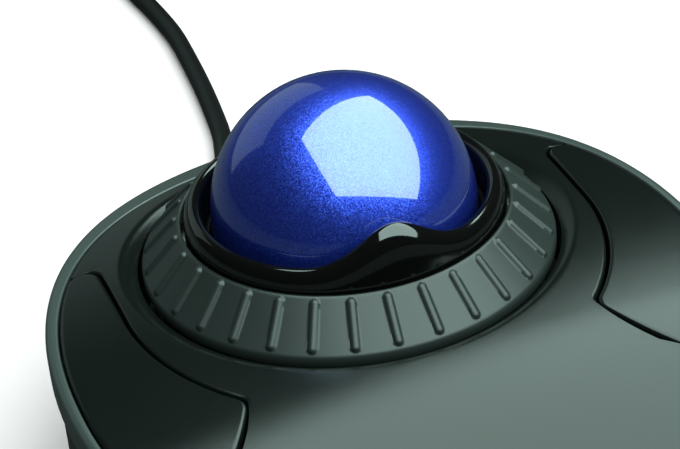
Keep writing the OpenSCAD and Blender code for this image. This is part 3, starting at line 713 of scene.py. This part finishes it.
class TRACKBALL_OT_lead(bpy.types.Operator):
    """The lead from the body to its plug, with its coil and strap"""

    bl_idname = "trackball.lead"
    bl_label = "Lead"

    def execute(self, context):
        d = sizes().lead_diameter
        coil = coil_path(d)
        tail = smooth_path([coil[-1], *TAIL_ROUTE])[1:]
        p = np.concatenate([smooth_path(LEAD_ROUTE), coil, tail]) * MM
        curve = bpy.data.curves.new("lead", "CURVE")
        curve.dimensions = "3D"
        curve.bevel_depth = d * MM / 2
        curve.bevel_resolution = 4
        curve.use_fill_caps = True
        spline = curve.splines.new("POLY")
        spline.points.add(len(p) - 1)
        spline.points.foreach_set("co", np.concatenate([p, np.ones((len(p), 1))], 1).ravel())
        spline.use_smooth = True
        lead = bpy.data.objects.new("lead", curve)
        context.scene.collection.objects.link(lead)
        jacket = finish("Lead jacket", tuple(colours().jacket), rough=0.36, grain=2500.0, depth=0.03,
                        Specular_IOR_Level=0.16)
        settle(lead, "casing", "lead_black", jacket, "usb_cord", "cord_coil")
        strap = self.strap()
        plug = self.plug(jacket)
        relief = self.relief(jacket)
        return {"FINISHED"}

    def strap(self):
        """A woven tape round the coil's bundle: a rounded rectangle and a larger one round it,
        carried across the tape's width and turned about the coil's middle."""
        half, top, thick, half_width = 5.45, 14.4, 0.8, 3.5
        wide, high = half + thick, top + thick
        loop = round_path([(-half, 0.05), (half, 0.05), (half, top), (-half, top)], 0.6)
        outer = round_path([(-wide, 0.0), (wide, 0.0), (wide, high), (-wide, high)], 1.6)
        section = np.stack([loop, outer, outer, loop])
        along = np.array([-half_width, -half_width, half_width, half_width])[:, None]
        out = COIL_R + section[..., 0]
        a = math.radians(55)
        x = COIL_CENTRE[0] + out * math.cos(a) - along * math.sin(a)
        y = COIL_CENTRE[1] + out * math.sin(a) + along * math.cos(a)
        g = np.stack([x, y, section[..., 1]], -1)
        strap = grid_mesh("coil_strap", g, wrap_rows=True, wrap_cols=True)
        smooth_by_angle(strap, 40)
        tape = finish("Woven tape", (0.02, 0.02, 0.02), rough=0.75, depth=0.5, lines=(1.0, 1.0, 0.15))
        return settle(strap, "casing", "tie_black", tape, "coil_tie")

    def plug(self, jacket):
        """The plug's grip, a section carried along Y. The body is a superellipse of power five with
        quarter rounds at its ends and five sine grooves; the tail is a tapered circle with steps
        where a sine wave is positive. Both ends close in a point."""
        px, py, pz = 67, 205, 4
        steps = 64
        y = np.concatenate([[0, 0, 0.15, 0.5, 1.0], np.linspace(1.6, 22, 69),
                            [22.6, 23.2, 23.7, 24.0, 24.2], np.linspace(24.6, 32.4, 40),
                            [32.8, 33.0, 33.0]])
        body = y <= 24.0
        groove = 0.35 * np.clip(np.sin((y - 7) / 12 * 5 * 2 * np.pi), 0, 1) * ((y > 7) & (y < 19))
        soft = np.minimum(1.0 - np.sqrt(np.clip(1 - np.clip(1 - y, 0, 1) ** 2, 0, 1)), 1)
        end = 1.5 * (1 - np.sqrt(np.clip(1 - np.clip((y - 22.5) / 1.5, 0, 1) ** 2, 0, 1)))
        step = (np.sin((y - 24.6) / 7.8 * 5 * 2 * np.pi - 1.6) > 0) & (y > 25)
        tail_r = 3.3 - (y - 24) * 0.1 - 0.35 * step
        half_w = np.where(body, 8 - groove - soft - end * 2.2, tail_r)
        half_h = np.where(body, 4 - groove * 0.6 - soft - end * 0.45, tail_r)
        power = np.where(body, 5.0, 2.0)
        half_w[0] = half_h[0] = half_w[-1] = half_h[-1] = 1e-6
        t = np.linspace(0, 2 * np.pi, steps, endpoint=False)
        c, s = np.cos(t)[None], np.sin(t)[None]
        e = (2 / power)[:, None]
        x = px + half_w[:, None] * np.sign(c) * np.abs(c) ** e
        z = pz + half_h[:, None] * np.sign(s) * np.abs(s) ** e
        g = np.stack([x, py + np.repeat(y[:, None], steps, 1), z], -1)
        plug = grid_mesh("plug_grip", g, wrap_cols=True, merge=3e-6)
        smooth_by_angle(plug, 50)
        return settle(plug, "casing", "lead_black", jacket, "usb_overmould")

    def relief(self, jacket):
        """Tapered bush from the flange inside the wall to the lead: a radius along Y, carried round
        the lead's axis. The taper is straight, and a clipped sine wave stands on it as ribs."""
        y0, y1, axis_z, steps = 58.8, 73.7, 9, 48
        y = np.linspace(y0, 73.0, 120)
        taper = 3.9 - (y - y0) / (y1 - y0) * 1.35
        wave = np.clip(np.sin((y - 59.2) / 13.4 * 6 * 2 * np.pi) * 2, -1, 1)
        ribs = 0.32 * wave * ((y > 59.5) & (y < 72.4))
        sleeve = np.minimum(taper + ribs - 0.3, 3.9)
        r = np.concatenate([[0, 4.3, 4.3, 3.35, 3.35, 3.8], sleeve, [2.3, 1.85, 0]])[:, None]
        along = np.concatenate([[52.2, 52.2, 53.8, 53.8, 56.7, 56.9], y, [73.4, y1, y1]])
        t = np.linspace(0, 2 * np.pi, steps, endpoint=False)[None]
        g = np.stack([r * np.cos(t), np.repeat(along[:, None], steps, 1), axis_z + r * np.sin(t)], -1)
        relief = grid_mesh("lead_relief", g, wrap_cols=True)
        smooth_by_angle(relief, 50)
        return settle(relief, "casing", "lead_black", jacket, "strain_relief")


# ---------------------------------------------------------------- body


RECESS_R, RECESS_FLOOR, RECESS_TOP = 32.0, 21.5, 30.6
SKIRT = 2.2  # depth of the edge faces of deck and buttons
RIM_SAMPLES = (180, 260, 90)  # points along the palm outline, the button's cut-out, the far outline


class TRACKBALL_OT_deck(bpy.types.Operator):
    """Soft-touch deck with the ring recess and the cut-outs for the buttons"""

    bl_idname = "trackball.deck"
    bl_label = "Deck"

    def execute(self, context):
        """The rows of a grid run outwards from the ring's recess: each is a closed loop with one
        point on every ray from the ball's axis to the outer edge, and the rays are spread evenly
        past the button's corners. The recess wall leans into the deck by a flare, a quadratic curve
        whose reach grows with the deck's height, 11 out for 7 up. Even steps at the deck's height
        lead to the edge, with a quarter round, a skirt and a turn back under the deck."""
        runs = [resample(run, n) for run, n in zip(deck_edge(), RIM_SAMPLES)]
        left = np.concatenate([runs[0], runs[1][1:], runs[2][1:]])
        n_palm = RIM_SAMPLES[0] - 1
        n_cut = n_palm + RIM_SAMPLES[1] - 1
        polar = np.degrees(np.unwrap(np.arctan2(left[:, 1] - BALL_Y, left[:, 0])))
        polar += -90 - polar[0]
        first = n_palm + 20
        bend = np.linalg.norm(np.diff(outward(left, False), axis=0), axis=1)
        corner = first + int(np.argmax(bend[first:n_cut - 40]))
        settled = corner + 55
        marks = [0, n_palm, corner, settled]
        values = [-90, -117, -140, polar[settled]]
        turn0, turn1 = n_cut - 50, n_cut + 14
        polar[turn0:turn1] = np.linspace(polar[turn0], polar[turn1], turn1 - turn0)
        rest = np.arange(settled + 1, len(left))
        index = np.arange(len(left))
        theta = np.interp(index, np.concatenate([marks, rest]), np.concatenate([values, polar[rest]]))
        right = left[::-1][1:-1] * [-1, 1]
        edge = np.concatenate([left, right])
        mirrored = 180 - theta[::-1][1:-1]
        angles = np.radians(np.concatenate([theta, mirrored - 360]))
        ray = np.stack([np.cos(angles), np.sin(angles)], -1)
        inner = np.array([0, BALL_Y]) + RECESS_R * ray
        span = np.linalg.norm(edge - inner, axis=1)
        normal = outward(edge)
        if (edge * normal).sum() < 0:
            normal = -normal
        r_flare = np.full(len(edge), 32.6)
        for _ in range(12):
            p = np.array([0, BALL_Y]) + r_flare[:, None] * ray
            r_flare = np.clip(RECESS_R + (deck_z(*p.T) - RECESS_TOP) * 11 / 7, 32.25, 36)
        r_flare = np.minimum(r_flare, RECESS_R + 0.55 * np.minimum(span, 8))
        lip = np.minimum(1.0, 0.25 * span)
        rows = []

        def at(r):
            return np.array([0, BALL_Y]) + np.broadcast_to(r, len(edge))[:, None] * ray

        def put(xy, z):
            rows.append(np.concatenate([xy, np.broadcast_to(z, len(xy))[:, None]], 1))

        for r, z in ((22.5, 20.0), (22.5, RECESS_FLOOR), (31.4, RECESS_FLOOR), (31.8, 21.7),
                     (RECESS_R, 22.2)):
            put(at(r), z)
        wall_top = np.minimum(RECESS_TOP, deck_z(*at(RECESS_R).T) - 0.3)
        start = np.concatenate([at(RECESS_R), wall_top[:, None]], 1)
        knee_xy = at(r_flare)
        knee = np.concatenate([knee_xy, deck_z(*knee_xy.T)[:, None]], 1)
        top_xy = at(r_flare + lip)
        top = np.concatenate([top_xy, deck_z(*top_xy.T)[:, None]], 1)
        mid = start + (knee - start) * 0.35
        rows.append(start - [0, 0, 0.4])
        rows.append(start)
        for s in np.linspace(0, 1, 9):
            rows.append((1 - s) ** 2 * mid + 2 * s * (1 - s) * knee + s**2 * top)
        e = np.minimum(sizes().seam_round, 0.3 * span)[:, None]
        outer = edge - normal * e
        for s in np.linspace(0, 1, 34)[1:]:
            xy = top_xy + (outer - top_xy) * s
            put(xy, deck_z(*xy.T))
        for a in np.radians([22.5, 45, 67.5, 90]):
            xy = edge - normal * e * (1 - math.sin(a))
            put(xy, deck_z(*xy.T) - e[:, 0] * (1 - math.cos(a)))
        put(edge, deck_z(*edge.T) - SKIRT)
        thick = np.minimum(1.5, 0.45 * span)[:, None]
        back = inner + (edge - inner) / np.maximum(span, 0.1)[:, None] * thick
        for s in np.linspace(0, 1, 8)[1:]:
            xy = edge + (back - edge) * s
            put(xy, np.minimum(deck_z(*xy.T) - SKIRT, 30))
        put(back, 20.0)
        deck = grid_mesh("deck_skin", np.stack(rows), wrap_rows=True, wrap_cols=True)
        smooth_by_angle(deck, 50)
        soft = finish("Soft-touch deck", tuple(colours().deck), rough=0.17, grain=5200.0, depth=0.12,
                      drift=0.16, rough_drift=0.05, Specular_IOR_Level=0.32)
        settle(deck, "casing", "deck_soft", soft, "top_shell")
        return {"FINISHED"}


class TRACKBALL_OT_buttons(bpy.types.Operator):
    """The two button caps"""

    bl_idname = "trackball.buttons"
    bl_label = "Buttons"

    def execute(self, context):
        """A cap is closed by a top and an underside, each a blended patch: straight blends between
        both pairs of opposite sides, added, less the bilinear patch of the corners, at the deck's
        height. A quarter round and a skirt join them, loops moved in along the outline's normals."""
        n_long, n_short = 150, 48
        sides = [resample(p, n) for p, n in zip(button_sides(), (n_long, n_short, n_long, n_short))]
        loop = np.concatenate([s[:-1] for s in sides])
        normal = outward(loop)
        if ((loop - loop.mean(0)) * normal).sum() < 0:
            normal = -normal
        cap_round = sizes().seam_round + 0.15
        proud = sizes().button_proud
        under, under_inset = SKIRT + proud, 1.2

        def ring(inset, z_drop):
            xy = loop - normal * inset
            return np.concatenate([xy, (deck_z(*xy.T, proud) - z_drop)[:, None]], 1)

        def patch(inset, z_drop):
            p = loop - normal * inset
            i1, i2, i3 = n_long - 1, n_long + n_short - 2, 2 * n_long + n_short - 3
            s1, s2, s3 = p[:i1 + 1], p[i1:i2 + 1], p[i2:i3 + 1][::-1]
            s4 = np.concatenate([p[i3:], p[:1]])[::-1]
            u = np.linspace(0, 1, n_long)[:, None, None]
            v = np.linspace(0, 1, n_short)[None, :, None]
            corners = ((1 - u) * (1 - v) * s1[0] + u * (1 - v) * s1[-1]
                       + (1 - u) * v * s3[0] + u * v * s3[-1])
            xy = ((1 - v) * s1[:, None] + v * s3[:, None] + (1 - u) * s4[None] + u * s2[None]
                  - corners)
            z = deck_z(xy[..., 0], xy[..., 1], proud) - z_drop
            return np.concatenate([xy, z[..., None]], -1)

        rings = [ring(cap_round * (1 - math.sin(a)), cap_round * (1 - math.cos(a)))
                 for a in np.radians([0, 15, 30, 45, 60, 75, 90])]
        rings += [ring(0, under), ring(under_inset, under)]
        sides_n, patch_n = len(rings) * len(loop), n_long * n_short
        v = np.concatenate([np.stack(rings).reshape(-1, 3), patch(cap_round, 0).reshape(-1, 3),
                            patch(under_inset, under).reshape(-1, 3)])
        f = np.concatenate([quads(len(rings), len(loop), wrap_cols=True),
                            quads(n_long, n_short, start=sides_n),
                            quads(n_long, n_short, start=sides_n + patch_n)])
        soft = finish("Soft-touch button", tuple(colours().button), rough=0.17, grain=5200.0,
                      depth=0.12, drift=0.16, rough_drift=0.05, Specular_IOR_Level=0.32)
        for side, sign in (("left", 1), ("right", -1)):
            cap = add_mesh(f"{side}_cap", v * [sign, 1, 1], f)
            smooth_by_angle(cap, 50)
            settle(cap, f"{side}_button", "button_soft", soft, f"{side}_button")
        return {"FINISHED"}


class TRACKBALL_OT_case(bpy.types.Operator):
    """Trim band and lower case"""

    bl_idname = "trackball.case"
    bl_label = "Case"

    def execute(self, context):
        """The trim band is a profile carried along two outlines: up the inner one, over a small
        quarter round, across in even steps at the deck's height, over a larger round, down the
        outer one and round its foot. The lower case is the CAD's own shape, shaded smooth."""
        soft, r, foot = 0.35, 1.0, 0.3
        t = np.linspace(0, 360, 480, endpoint=False)
        inner, outer = oval(DECK_OVAL, t, JOINT), oval(BODY_OVAL, t)
        n = outward(outer)
        n = n if (outer * n).sum() > 0 else -n
        m = outward(inner)
        m = m if (inner * m).sum() > 0 else -m
        zi, zo = deck_z(*inner.T), deck_z(*outer.T)
        rows = []

        def put(xy, z):
            rows.append(np.concatenate([xy, z[:, None]], 1))

        put(inner, zi - 4.5)
        put(inner, zi - soft)
        for a in np.radians([30, 60, 90]):
            xy = inner + m * soft * (1 - math.cos(a))
            put(xy, deck_z(*xy.T) - soft * (1 - math.sin(a)))
        lo, hi = inner + m * soft, outer - n * r
        for s in np.linspace(0, 1, 6)[1:]:
            xy = lo + (hi - lo) * s
            put(xy, deck_z(*xy.T))
        for a in np.radians(np.linspace(0, 90, 7)[1:]):
            put(outer - n * r * (1 - math.sin(a)), zo - r * (1 - math.cos(a)))
        put(outer, zo - 4.1)
        for a in np.radians([30, 60, 90]):
            put(outer - n * foot * (1 - math.cos(a)), zo - 4.2 - foot * math.sin(a))
        band = grid_mesh("trim_rim", np.stack(rows), wrap_rows=True, wrap_cols=True)
        smooth_by_angle(band, 50)
        satin = finish("Satin trim", tuple(colours().band), rough=0.36, grain=2600.0, depth=0.04,
                       Specular_IOR_Level=0.6)
        settle(band, "casing", "band_grey", satin, "trim_band")
        base = cad_copy("base_shell", "lower_case", 32)
        dark = finish("Sparked case", tuple(colours().case), rough=0.55, grain=2200.0, depth=0.25)
        settle(base, "casing", "case_dark", dark, "base_shell")
        return {"FINISHED"}


# ---------------------------------------------------------------- ring, collar and ball


RING_LIP, RING_FOOT = np.array([25.0, 38.0]), np.array([31.25, 31.6])
# The rest of the ring's section, from the lip down the inside, along the underside and up again.
RING_BACK = np.array([
    (24.95, 38.0), (24.75, 37.95), (24.62, 37.8), (24.6, 37.6), (24.6, 36.0), (29.65, 31.2),
    (29.65, 30.0), (31.0, 30.0), (31.2, 30.06), (31.25, 30.2), (31.25, 31.3),
])
BAR_PHASE = 8.0  # degrees from +X to the first bar
BAR_SUNK, BAR_BLEND = 0.2, 0.16  # a bar's axis below the cone, and the width of its soft foot
BAR_ENDS = (1.1, 1.35)  # from the cone's lip and foot to the ends of a bar's axis


class TRACKBALL_OT_ring(bpy.types.Operator):
    """Ribbed grip of the scroll ring"""

    bl_idname = "trackball.ring"
    bl_label = "Ring grip"

    def execute(self, context):
        """A cone from lip to foot, with round-ended bars down it. A point stands above the cone by
        sqrt(radius^2 - distance^2) less the depth of the bar's axis, where the distance is measured
        to that axis, a straight stretch down the cone. A smooth maximum of that height and zero,
        a quadratic over the blend width, gives each bar a soft foot."""
        count, bar_r = sizes().bar_count, sizes().bar_radius
        slope = RING_FOOT - RING_LIP
        run = np.linalg.norm(slope)
        slope = slope / run
        normal = np.array([-slope[1], slope[0]])
        m = np.concatenate([[0.0, 0.15, 0.3], np.linspace(0.45, run - 0.45, 62),
                            [run - 0.3, run - 0.15, run]])
        per = 30
        pitch = 2 * np.pi / count
        a = np.arange(count * per) * 2 * np.pi / (count * per)
        start = math.radians(BAR_PHASE)
        r_at = RING_LIP[0] + slope[0] * m
        q = (np.mod(a - start + np.pi / count, pitch) - np.pi / count)[:, None] * r_at[None]
        beyond = np.maximum(np.maximum(BAR_ENDS[0] - m, m - (run - BAR_ENDS[1])), 0)[None]
        dist = np.sqrt(q**2 + beyond**2)
        swell = np.sqrt(np.clip(bar_r**2 - dist**2, 0, None)) - BAR_SUNK
        h = np.clip(0.5 + 0.5 * swell / BAR_BLEND, 0, 1)
        soft = h * swell + BAR_BLEND * h * (1 - h) * 0.5
        rise = np.maximum(np.where(swell > BAR_BLEND, swell, soft), 0)
        edge_soft = np.array([0.10, 0.04, 0.01])
        sink = np.zeros(len(m))
        sink[:3], sink[-3:] = edge_soft, edge_soft[::-1]
        p = RING_LIP + m[None, :, None] * slope + (rise - sink)[..., None] * normal
        back = np.broadcast_to(RING_BACK[::-1][None], (len(a), len(RING_BACK), 2))
        r, z = np.moveaxis(np.concatenate([p, back], 1), -1, 0)
        g = np.stack([r * np.cos(a)[:, None], BALL_Y + r * np.sin(a)[:, None], z], -1)
        grip = grid_mesh("ring_grip_skin", g, wrap_rows=True, wrap_cols=True)
        smooth_by_angle(grip, 55)
        rubber = finish("Ring rubber", tuple(colours().ring), rough=0.42, grain=4200.0, depth=0.10,
                        drift=0.2, Specular_IOR_Level=0.42)
        settle(grip, "scroll_ring", "ring_rubber", rubber, "ring_grip")
        return {"FINISHED"}


TONGUE_SPREAD = 13.0  # degrees
LIP_TOP = 40.8
TUBE_IN, TUBE_OUT = 22.5, 24.2  # radii of the collar's upright tube
MOUTH_R, MOUTH_Z = 20.8, 37.3  # lower edge of the collar's inner slope


class TRACKBALL_OT_ball(bpy.types.Operator):
    """Ball and the gloss collar around it"""

    bl_idname = "trackball.ball"
    bl_label = "Ball and collar"

    def execute(self, context):
        """The ball is a half circle carried round the upright axis."""
        lat = np.radians(np.linspace(-90, 90, 129))
        profile = np.stack([BALL_R * np.cos(lat), BALL_Z + BALL_R * np.sin(lat)], -1)
        profile[0, 0] = profile[-1, 0] = 0
        ball = lathe("ball_skin", profile, 256)
        deep, bright = tuple(colours().ball_deep), tuple(colours().ball_bright)
        pearl = pearl_finish("Pearl blue", deep, bright, tilt=0.22, rough=0.34)
        settle(ball, "ball", "ball_blue", pearl, "ball")
        collar = grid_mesh("collar_lip", self.collar(), wrap_rows=True, wrap_cols=True)
        smooth_by_angle(collar, 50)
        gloss = finish("Polished black", tuple(colours().gloss), rough=0.07, grain=1500.0,
                       depth=0.002, rough_drift=0.02, Specular_IOR_Level=0.6)
        settle(collar, "casing", "gloss_black", gloss, "ball_collar")
        return {"FINISHED"}

    def collar(self, steps=360):
        """A lip profile carried round the ball's axis: an elliptic arc outside, a round fold
        inside, a slope down to the mouth and an upright tube. Its top is raised by a bell curve
        into a tongue on the palm side: rise = height * exp(-(angle / spread)^2 / 2)."""
        turn = np.linspace(0, 2 * np.pi, steps, endpoint=False)
        off = (np.degrees(turn) + 90 + 180) % 360 - 180
        bell = np.exp(-((off / TONGUE_SPREAD) ** 2) / 2)
        rise = sizes().tongue_rise * bell
        crest, wide = TUBE_IN - 0.9 * bell, 1.7 + 0.9 * bell
        tall, fold = 3.5 + 1.6 * bell, 1.1 - 0.5 * bell
        top = LIP_TOP + rise
        t = np.radians(np.linspace(0, 90, 28))[:, None]
        out_r, out_z = crest + wide * np.cos(t), top - tall + tall * np.sin(t)
        t = np.radians(np.linspace(90, 180, 12)[1:])[:, None]
        in_r, in_z = crest + fold * np.cos(t), top - fold + fold * np.sin(t)
        s = np.linspace(0, 0.97, 12)[:, None]
        flank_r, flank_z = TUBE_OUT + 0 * s * rise, 36.0 + s * (out_z[0] - 36.0)
        s = np.linspace(0.06, 1, 6)[:, None]
        inner_r, inner_z = in_r[-1] + s * (MOUTH_R - in_r[-1]), in_z[-1] + s * (MOUTH_Z - in_z[-1])
        foot = np.array([(21.6, 36.6), (TUBE_IN, 35.8), (TUBE_IN, RECESS_FLOOR),
                         (TUBE_OUT, RECESS_FLOOR), (TUBE_OUT, 35.0)])
        foot_r, foot_z = foot[:, :1] + 0 * rise, foot[:, 1:] + 0 * rise
        r = np.concatenate([flank_r, out_r, in_r, inner_r, foot_r])
        z = np.concatenate([flank_z, out_z, in_z, inner_z, foot_z])
        return np.stack([r * np.cos(turn), BALL_Y + r * np.sin(turn), z], -1)


# ---------------------------------------------------------------- carried-over nodes

NODE_FINISHES = {
    "cup_black": dict(colour=(0.010, 0.010, 0.010), rough=0.25),
    "bearing_ceramic": dict(colour=(0.80, 0.78, 0.72), rough=0.12),
    "carrier_plastic": dict(colour=(0.03, 0.03, 0.03), rough=0.5, depth=0.15),
    "track_plastic": dict(colour=(0.62, 0.62, 0.58), rough=0.4),
    "sensor_black": dict(colour=(0.015, 0.015, 0.017), rough=0.45, depth=0.2),
    "lens_clear": dict(colour=(0.85, 0.90, 0.92), rough=0.05, Transmission_Weight=1.0),
    "led_red": dict(colour=(0.60, 0.04, 0.03), rough=0.15),
    "board_green": dict(colour=(0.012, 0.09, 0.035), rough=0.3, lines=(1.0, 0.05, 1.0), depth=0.3),
    "pin_gold": dict(colour=(0.75, 0.52, 0.16), rough=0.25, Metallic=1.0),
    "capacitor_blue": dict(colour=(0.02, 0.04, 0.16), rough=0.3),
    "can_steel": dict(colour=(0.62, 0.63, 0.64), rough=0.2, Metallic=1.0,
                      lines=(0.02, 0.02, 1.0), depth=0.1),
    "switch_black": dict(colour=(0.018, 0.018, 0.020), rough=0.45, depth=0.15),
    "plunger_yellow": dict(colour=(0.70, 0.58, 0.10), rough=0.4),
    "connector_ivory": dict(colour=(0.72, 0.70, 0.62), rough=0.45),
    "lead_black": dict(colour=(0.012, 0.012, 0.012), rough=0.4),
    "clamp_plastic": dict(colour=(0.03, 0.03, 0.03), rough=0.5, depth=0.15),
    "screw_steel": dict(colour=(0.50, 0.51, 0.52), rough=0.3, Metallic=1.0,
                        lines=(1.0, 0.02, 1.0), depth=0.1),
    "foot_rubber": dict(colour=(0.014, 0.014, 0.014), rough=0.8, depth=0.3),
    "plug_steel": dict(colour=(0.62, 0.63, 0.65), rough=0.2, Metallic=1.0,
                       lines=(0.05, 1.0, 0.05), depth=0.1),
}


class TRACKBALL_OT_nodes(bpy.types.Operator):
    """Finishes of the CAD nodes that are shown as they are"""

    bl_idname = "trackball.nodes"
    bl_label = "Inner parts"

    def execute(self, context):
        made = {}
        slots = {s["node"]: s["material_slot"] for s in frame["record"]["subparts"]}
        for name, obj in frame["nodes"].items():
            if obj.hide_render:
                continue
            slot = slots[name]
            if slot not in made:
                made[slot] = finish(slot.replace("_", " ").capitalize(), **NODE_FINISHES[slot])
            obj.data.materials.clear()
            obj.data.materials.append(made[slot])
        return {"FINISHED"}


class TRACKBALL_PT_panel(bpy.types.Panel):
    """Lists the operators and their settings"""

    bl_label = "Trackball"
    bl_idname = "TRACKBALL_PT_panel"
    bl_space_type = "VIEW_3D"
    bl_region_type = "UI"
    bl_category = "Trackball"

    def draw(self, context):
        for op in OPERATORS:
            self.layout.operator(op.bl_idname)
        for group_of in (context.scene.trackball_sizes, context.scene.trackball_colours):
            for key in group_of.__annotations__:
                self.layout.prop(group_of, key)


OPERATORS = (
    TRACKBALL_OT_stage, TRACKBALL_OT_lead, TRACKBALL_OT_deck, TRACKBALL_OT_buttons, TRACKBALL_OT_case,
    TRACKBALL_OT_ring, TRACKBALL_OT_ball, TRACKBALL_OT_nodes,
)
CLASSES = (TrackballSizes, TrackballColours, *OPERATORS, TRACKBALL_PT_panel)


def register():
    """Adds the classes, and the settings of the scene."""
    for cls in CLASSES:
        bpy.utils.register_class(cls)
    bpy.types.Scene.trackball_sizes = bpy.props.PointerProperty(type=TrackballSizes)
    bpy.types.Scene.trackball_colours = bpy.props.PointerProperty(type=TrackballColours)


def unregister():
    """Takes away what register added."""
    del bpy.types.Scene.trackball_sizes
    del bpy.types.Scene.trackball_colours
    for cls in reversed(CLASSES):
        bpy.utils.unregister_class(cls)


def main():
    """Builds everything in order."""
    register()
    for op in OPERATORS:
        name = op.bl_idname.split(".")[1]
        getattr(bpy.ops.trackball, name)()
    bpy.context.view_layer.update()


if __name__ == "__main__":
    main()
